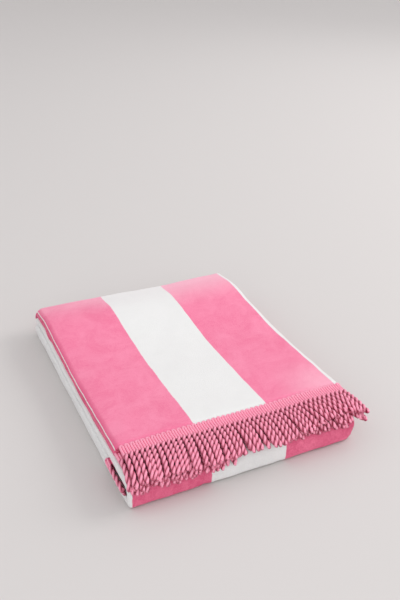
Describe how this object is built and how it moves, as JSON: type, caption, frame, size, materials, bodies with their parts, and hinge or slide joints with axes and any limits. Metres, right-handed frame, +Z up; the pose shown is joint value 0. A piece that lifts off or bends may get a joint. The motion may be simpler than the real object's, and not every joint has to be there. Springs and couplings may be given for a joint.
{
  "type": "folded beach towel",
  "caption": "Striped velour beach towel with a twisted-cord fringe, folded lengthwise and then crosswise into a flat stack.",
  "frame": {"origin": "middle of the towel's footprint, fringe included, on the surface it lies on", "axes": "+Z up, -Y towards the fringed end that lies on top, +X towards the right crease of the top layer"},
  "size_m": [0.3156, 0.4304, 0.0554],
  "materials": {
    "velour": "sheared cotton velour, striped pink and white",
    "fringe_yarn": "twisted cotton yarn, matte pink"
  },
  "bodies": {
    "root": {"towel_cloth": "velour", "fringe_outer": "fringe_yarn", "fringe_inner": "fringe_yarn"}
  },
  "joints": []
}
